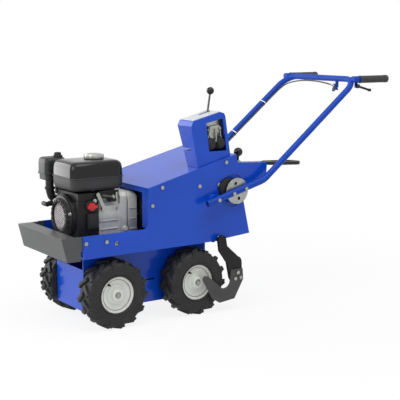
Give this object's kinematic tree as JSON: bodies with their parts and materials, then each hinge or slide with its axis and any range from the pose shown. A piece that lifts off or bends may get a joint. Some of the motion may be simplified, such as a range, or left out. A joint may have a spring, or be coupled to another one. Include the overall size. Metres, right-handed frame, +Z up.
{
  "type": "sod cutter",
  "caption": "Walk-behind sod cutter with a blue steel body, a front engine, lug tyres, a bent-tube handlebar and an oscillating U-shaped blade",
  "frame": {"origin": "centre of the bounding box's foot, on the ground", "axes": "+X to the operator's end, +Y to the operator's right, +Z up"},
  "size_m": [1.535, 0.4998, 0.9212],
  "materials": {
    "blue_paint": "satin powder coat",
    "grey_paint": "satin powder coat",
    "black_paint": "satin paint",
    "pale_paint": "satin paint",
    "zinc_steel": "zinc plated",
    "bare_steel": "machined",
    "cast_aluminium": "as cast",
    "cast_iron": "as cast",
    "black_plastic": "fine grain",
    "gloss_black": "gloss",
    "red_plastic": "satin",
    "grey_plastic": "satin",
    "black_rubber": "matt",
    "tyre_rubber": "matt"
  },
  "bodies": {
    "chassis": {"left_side_panel": "blue_paint", "right_side_panel": "blue_paint", "engine_deck": "blue_paint", "lower_frame": "blue_paint", "top_cover": "blue_paint", "front_bumper": "grey_paint", "control_console": "blue_paint", "console_plate": "pale_paint", "lever_quadrants": "zinc_steel", "handle_frame": "blue_paint", "hand_grips": "black_rubber", "isolator_rubbers": "black_rubber", "isolator_plates": "zinc_steel", "control_cable": "grey_plastic", "frame_bolts": "zinc_steel", "axle_bearings": "cast_iron", "drive_chain": "bare_steel", "drive_gearbox": "cast_iron", "drive_belt": "black_rubber", "crankcase": "cast_aluminium", "side_cover": "cast_aluminium", "fan_cover": "black_paint", "recoil_cover": "black_paint", "fuel_tank": "gloss_black", "cylinder_head": "cast_aluminium", "carburettor": "cast_aluminium", "air_cleaner": "black_plastic", "muffler": "black_paint"},
    "front_wheels": {"front_axle": "bare_steel", "front_rims": "pale_paint", "front_left_tyre": "tyre_rubber", "front_right_tyre": "tyre_rubber", "front_sprocket": "bare_steel"},
    "rear_wheels": {"rear_axle": "bare_steel", "rear_rims": "pale_paint", "rear_left_tyre": "tyre_rubber", "rear_right_tyre": "tyre_rubber", "rear_sprocket": "bare_steel"},
    "wheel_drive": {"drive_sprocket": "bare_steel"},
    "crank": {"crankshaft": "bare_steel", "engine_sheave": "cast_iron"},
    "worm": {"gearbox_sheave": "cast_iron"},
    "cross_shaft": {"cross_shaft": "bare_steel"},
    "rods": {"connecting_rods": "bare_steel"},
    "carrier": {"blade_carrier": "black_paint"},
    "cutter": {"blade_arms": "black_paint", "blade": "bare_steel", "blade_bolts": "zinc_steel"},
    "depth_lever": {"depth_lever": "zinc_steel", "depth_lever_grip": "black_plastic"},
    "lock_knob": {"depth_lock_knob": "gloss_black"},
    "shift_lever": {"shift_lever": "bare_steel", "shift_knob": "gloss_black"},
    "clutch_lever": {"clutch_lever": "black_paint"},
    "throttle_trigger": {"throttle_trigger": "black_paint"},
    "engine_switch": {"engine_switch": "red_plastic"},
    "fuel_cap": {"fuel_cap": "gloss_black"},
    "recoil_grip": {"recoil_grip": "black_plastic"},
    "choke_lever": {"choke_lever": "black_plastic"},
    "governor_arm": {"governor_arm": "zinc_steel"}
  },
  "joints": [
    {"name": "front_wheels_spin", "type": "hinge", "parent": "chassis", "child": "front_wheels", "pos_m": [-0.5455, 0, 0.13], "axis": [0, 1, 0], "continuous": true},
    {"name": "rear_wheels_spin", "type": "hinge", "parent": "chassis", "child": "rear_wheels", "pos_m": [-0.1875, 0, 0.13], "axis": [0, 1, 0], "continuous": true},
    {"name": "wheel_drive_spin", "type": "hinge", "parent": "chassis", "child": "wheel_drive", "pos_m": [-0.2545, -0.075, 0.296], "axis": [0, 1, 0], "continuous": true},
    {"name": "crank_spin", "type": "hinge", "parent": "chassis", "child": "crank", "pos_m": [-0.4665, 0, 0.411], "axis": [1, 0, 0], "continuous": true},
    {"name": "worm_spin", "type": "hinge", "parent": "chassis", "child": "worm", "pos_m": [-0.3285, 0, 0.28], "axis": [1, 0, 0], "continuous": true},
    {"name": "cross_shaft_spin", "type": "hinge", "parent": "chassis", "child": "cross_shaft", "pos_m": [-0.2165, 0, 0.33], "axis": [0, 1, 0], "continuous": true},
    {"name": "rod_turn", "type": "hinge", "parent": "cross_shaft", "child": "rods", "pos_m": [-0.2085, 0, 0.33], "axis": [0, 1, 0], "continuous": true},
    {"name": "blade_lift", "type": "slide", "parent": "chassis", "child": "carrier", "axis": [0, 0, 1], "range_m": [-0.052, 0]},
    {"name": "blade_swing", "type": "hinge", "parent": "carrier", "child": "cutter", "pos_m": [-0.0815, 0, 0.289], "axis": [0, 1, 0], "range_deg": [-2, 2]},
    {"name": "depth_lever_turn", "type": "hinge", "parent": "chassis", "child": "depth_lever", "pos_m": [0.0315, 0, 0.563], "axis": [0, 1, 0], "range_deg": [-28.7, 0.1]},
    {"name": "lock_knob_turn", "type": "hinge", "parent": "depth_lever", "child": "lock_knob", "pos_m": [0.14934, 0, 0.55682], "axis": [0.0523, 0, 0.9986], "range_deg": [0, 120]},
    {"name": "shift_lever_turn", "type": "hinge", "parent": "chassis", "child": "shift_lever", "pos_m": [-0.1015, -0.12, 0.69], "axis": [0, 1, 0], "range_deg": [-18, 18]},
    {"name": "clutch_lever_squeeze", "type": "hinge", "parent": "chassis", "child": "clutch_lever", "pos_m": [0.6035, -0.232, 0.877], "axis": [0, 1, 0], "range_deg": [-12, 0], "stiffness_Nm_per_rad": 1.5, "springref_deg": 8.02},
    {"name": "throttle_turn", "type": "hinge", "parent": "chassis", "child": "throttle_trigger", "pos_m": [0.5995, -0.093, 0.875], "axis": [0, 1, 0], "range_deg": [-20, 0], "stiffness_Nm_per_rad": 0.4, "springref_deg": 5.16},
    {"name": "engine_switch_turn", "type": "hinge", "parent": "chassis", "child": "engine_switch", "pos_m": [-0.5985, -0.105, 0.457], "axis": [0, 1, 0], "range_deg": [0, 45]},
    {"name": "fuel_cap_turn", "type": "hinge", "parent": "chassis", "child": "fuel_cap", "pos_m": [-0.53708, -0.012, 0.632], "axis": [0, 0, 1], "range_deg": [0, 90]},
    {"name": "recoil_pull", "type": "slide", "parent": "chassis", "child": "recoil_grip", "axis": [-1, 0, 0], "range_m": [0, 0.06], "stiffness_N_per_m": 40, "springref_m": -0.02},
    {"name": "choke_turn", "type": "hinge", "parent": "chassis", "child": "choke_lever", "pos_m": [-0.6365, 0.122, 0.465], "axis": [1, 0, 0], "range_deg": [-40, 0]},
    {"name": "governor_turn", "type": "hinge", "parent": "chassis", "child": "governor_arm", "pos_m": [-0.5445, -0.095, 0.445], "axis": [0, 1, 0], "range_deg": [-8, 8]}
  ],
  "couplings": [
    {"joint": "rear_wheels_spin", "follows": "front_wheels_spin", "ratio": 1},
    {"joint": "wheel_drive_spin", "follows": "front_wheels_spin", "ratio": 1.2857},
    {"joint": "worm_spin", "follows": "crank_spin", "ratio": 0.5676},
    {"joint": "cross_shaft_spin", "follows": "crank_spin", "ratio": 0.19},
    {"joint": "rod_turn", "follows": "crank_spin", "ratio": -0.19},
    {"joint": "depth_lever_turn", "follows": "blade_lift", "rad_per_m": 9.6}
  ]
}
